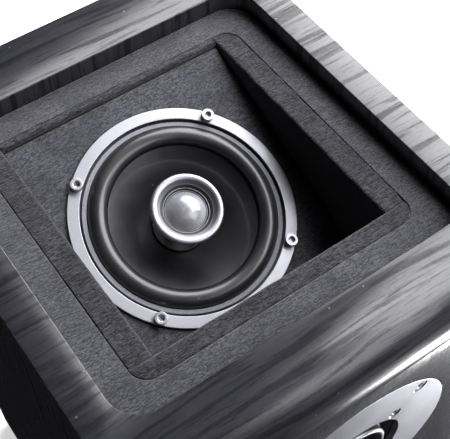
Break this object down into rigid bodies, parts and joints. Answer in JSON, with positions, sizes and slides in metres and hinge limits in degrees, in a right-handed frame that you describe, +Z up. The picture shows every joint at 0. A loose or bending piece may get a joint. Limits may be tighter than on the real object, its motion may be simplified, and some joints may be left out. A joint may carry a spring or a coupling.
{
  "type": "bookshelf speaker",
  "caption": "Bookshelf loudspeaker in a woodgrain cabinet, with an angled upward-firing driver in a felt-lined recess in its top.",
  "frame": {"origin": "centre of the footprint, on the surface that the feet stand on", "axes": "+X to the right of a listener who faces the front, +Y towards the back panel, +Z up"},
  "size_m": [0.21, 0.246, 0.36],
  "materials": {
    "black_ash_vinyl": "satin black ash woodgrain wrap, fine open grain",
    "fibreboard": "bare medium density fibreboard",
    "black_felt": "needle-punched black felt, matt and slightly mottled",
    "silver_metal": "satin silver anodised metal",
    "grey_frame": "satin grey paint",
    "black_basket": "black powder coat",
    "black_rubber": "smooth moulded rubber with a soft sheen",
    "cone_black": "gloss black cone",
    "dome_grey": "coated soft dome, smoky grey and glossy",
    "black_plastic": "fine matt black moulding",
    "red_plastic": "red moulding",
    "screw_steel": "plated steel screw",
    "plain_steel": "zinc plated steel",
    "ferrite": "dark ferrite",
    "coil_copper": "lacquered winding wire",
    "spider_cloth": "resin-treated corrugated cloth",
    "gold_plate": "gold-plated brass",
    "foot_rubber": "soft matt rubber",
    "circuit_board": "green circuit board with its parts"
  },
  "bodies": {
    "cabinet": {"cabinet_shell": "black_ash_vinyl", "front_baffle": "black_ash_vinyl", "back_panel": "black_ash_vinyl", "well_cheek_left": "fibreboard", "well_cheek_right": "fibreboard", "well_front_wall": "fibreboard", "height_baffle": "fibreboard", "deck_felt": "black_felt", "height_baffle_felt": "black_felt", "lip_felt_front": "black_felt", "lip_felt_right": "black_felt", "lip_felt_left": "black_felt", "lip_felt_back": "black_felt", "foot_front_left": "foot_rubber", "foot_front_right": "foot_rubber", "foot_back_left": "foot_rubber", "foot_back_right": "foot_rubber", "crossover_board": "circuit_board", "height_trim_ring": "silver_metal", "front_plate": "silver_metal", "front_horn_ring": "silver_metal", "height_gasket": "grey_frame", "height_basket": "black_basket", "woofer_basket": "black_basket", "height_surround": "black_rubber", "woofer_surround": "black_rubber", "height_spider": "spider_cloth", "woofer_spider": "spider_cloth", "height_magnet": "ferrite", "woofer_magnet": "ferrite", "front_motor": "ferrite", "height_yoke": "plain_steel", "woofer_yoke": "plain_steel", "height_tweeter_housing": "black_plastic", "front_unit_body": "black_plastic", "port_tube": "black_plastic", "terminal_cup": "black_plastic", "height_screw_1": "screw_steel", "height_screw_2": "screw_steel", "height_screw_3": "screw_steel", "height_screw_4": "screw_steel", "front_screw_1": "screw_steel", "front_screw_2": "screw_steel", "front_screw_3": "screw_steel", "front_screw_4": "screw_steel", "post_1": "gold_plate", "post_2": "gold_plate", "post_3": "gold_plate", "post_4": "gold_plate"},
    "height_cone": {"height_cone": "cone_black", "height_voice_coil": "coil_copper"},
    "height_dome": {"height_tweeter_dome": "dome_grey"},
    "front_dome": {"front_dome": "dome_grey"},
    "woofer_cone": {"woofer_cone": "cone_black", "woofer_dust_cap": "cone_black", "woofer_voice_coil": "coil_copper"},
    "knob_1": {"knob_1": "black_plastic"},
    "knob_2": {"knob_2": "red_plastic"},
    "knob_3": {"knob_3": "black_plastic"},
    "knob_4": {"knob_4": "red_plastic"}
  },
  "joints": [
    {"name": "height_cone_travel", "type": "slide", "parent": "cabinet", "child": "height_cone", "axis": [0, -0.342, 0.9397], "range_m": [-0.003, 0.003], "stiffness_N_per_m": 1200},
    {"name": "height_dome_travel", "type": "slide", "parent": "cabinet", "child": "height_dome", "axis": [0, -0.342, 0.9397], "range_m": [-0.0003, 0.0003], "stiffness_N_per_m": 2000},
    {"name": "front_dome_travel", "type": "slide", "parent": "cabinet", "child": "front_dome", "axis": [0, -1, 0], "range_m": [-0.0003, 0.0003], "stiffness_N_per_m": 2500},
    {"name": "woofer_cone_travel", "type": "slide", "parent": "cabinet", "child": "woofer_cone", "axis": [0, -1, 0], "range_m": [-0.004, 0.004], "stiffness_N_per_m": 900},
    {"name": "knob_1_turn", "type": "hinge", "parent": "cabinet", "child": "knob_1", "pos_m": [-0.0333, 0.123, 0.095], "axis": [0, 1, 0], "range_deg": [0, 1260]},
    {"name": "knob_2_turn", "type": "hinge", "parent": "cabinet", "child": "knob_2", "pos_m": [-0.0143, 0.123, 0.095], "axis": [0, 1, 0], "range_deg": [0, 1260]},
    {"name": "knob_3_turn", "type": "hinge", "parent": "cabinet", "child": "knob_3", "pos_m": [0.0143, 0.123, 0.095], "axis": [0, 1, 0], "range_deg": [0, 1260]},
    {"name": "knob_4_turn", "type": "hinge", "parent": "cabinet", "child": "knob_4", "pos_m": [0.0333, 0.123, 0.095], "axis": [0, 1, 0], "range_deg": [0, 1260]}
  ]
}
